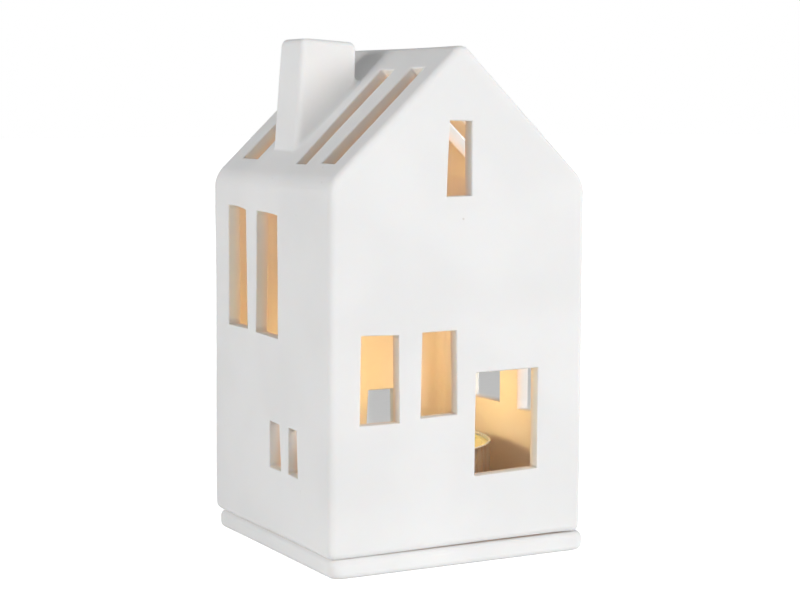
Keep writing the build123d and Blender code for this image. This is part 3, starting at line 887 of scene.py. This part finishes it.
class TEALIGHT_OT_studio(bpy.types.Operator):
    """Sets the floor, the lamps, the sky and the camera"""

    bl_idname = "tealight.studio"
    bl_label = "Studio"

    def execute(self, context):
        settings = context.scene.tealight_house.studio
        candle = context.scene.tealight_house.candle
        # A floor of 8 by 8 metres, whose edge no view reaches.
        form = bmesh.new()
        bmesh.ops.create_grid(form, x_segments=4, y_segments=4, size=4.0)
        new_piece("studio_floor", form, studio_floor(settings))
        middle = (cad_box[0] + cad_box[1]) / 2
        key_place = middle + towards(azimuth=-27, height=16, distance=1.3)
        lamp("key", "AREA", settings.key_power, key_place, middle, size=0.55)
        fill_place = middle + towards(azimuth=89, height=8, distance=1.2)
        lamp("fill", "AREA", settings.fill_power, fill_place, middle, size=0.6)
        # The flame is only light: its middle stands its own radius above the wick.
        flame_r = 2.2 * MM
        flame_place = (CUP_MIDDLE.x, CUP_MIDDLE.y, WICK_HIGH.z + flame_r)
        flame = lamp("flame_light", "POINT", candle.flame_power, flame_place, middle,
                     colour=candle.flame, size=flame_r)
        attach(flame, "tealight")
        light_sky(settings.sky)
        set_camera(settings)
        context.scene.view_settings.view_transform = "Standard"
        return {"FINISHED"}


def set_camera(settings):
    """The camera stands at the front left, a little above the eaves, and looks slightly down. Its place
    and angles were worked out from the edges of the house in the photograph."""
    place = Vector((-191.05, -353.55, 92.40)) * MM
    yaw, down, roll = radians(28.447), radians(5.914), radians(-0.262)
    ahead = Vector((sin(yaw) * cos(down), cos(yaw) * cos(down), -sin(down)))
    right = Vector((cos(yaw), -sin(yaw), 0))
    under = ahead.cross(right)
    x = right * cos(roll) + under * sin(roll)
    y = right * sin(roll) - under * cos(roll)
    camera = bpy.data.cameras.new("camera")
    camera.sensor_width = 36
    camera.lens = settings.lens
    camera.clip_start = 0.01
    seat = bpy.data.objects.new("camera", camera)
    seat.matrix_world = Matrix.Translation(place) @ Matrix((x, y, -ahead)).transposed().to_4x4()
    bpy.context.scene.collection.objects.link(seat)
    bpy.context.scene.camera = seat


class TEALIGHT_PT_house(bpy.types.Panel):
    """Lists the settings and steps of the tealight house."""

    bl_label = "Tealight house"
    bl_idname = "TEALIGHT_PT_house"
    bl_space_type = "VIEW_3D"
    bl_region_type = "UI"
    bl_category = "Tealight house"

    def draw(self, context):
        house = context.scene.tealight_house
        for group in (house.porcelain, house.candle, house.studio):
            box = self.layout.box()
            for name in group.__annotations__:
                box.prop(group, name)
        for step in STEPS:
            self.layout.operator(step.bl_idname)


STEPS = (TEALIGHT_OT_shell, TEALIGHT_OT_plate, TEALIGHT_OT_cup, TEALIGHT_OT_wax, TEALIGHT_OT_wick,
         TEALIGHT_OT_studio)
CLASSES = ((PorcelainSettings, CandleSettings, StudioSettings, TealightHouseSettings) + STEPS
           + (TEALIGHT_PT_house,))


def register():
    """Adds the settings, steps and panel."""
    for made in CLASSES:
        bpy.utils.register_class(made)
    bpy.types.Scene.tealight_house = PointerProperty(type=TealightHouseSettings)


def unregister():
    """Takes them away again."""
    del bpy.types.Scene.tealight_house
    for made in reversed(CLASSES):
        bpy.utils.unregister_class(made)


def main():
    """Builds the whole scene."""
    register()
    bpy.ops.tealight.shell()
    bpy.ops.tealight.plate()
    bpy.ops.tealight.cup()
    bpy.ops.tealight.wax()
    bpy.ops.tealight.wick()
    bpy.ops.tealight.studio()


if __name__ == "__main__":
    main()
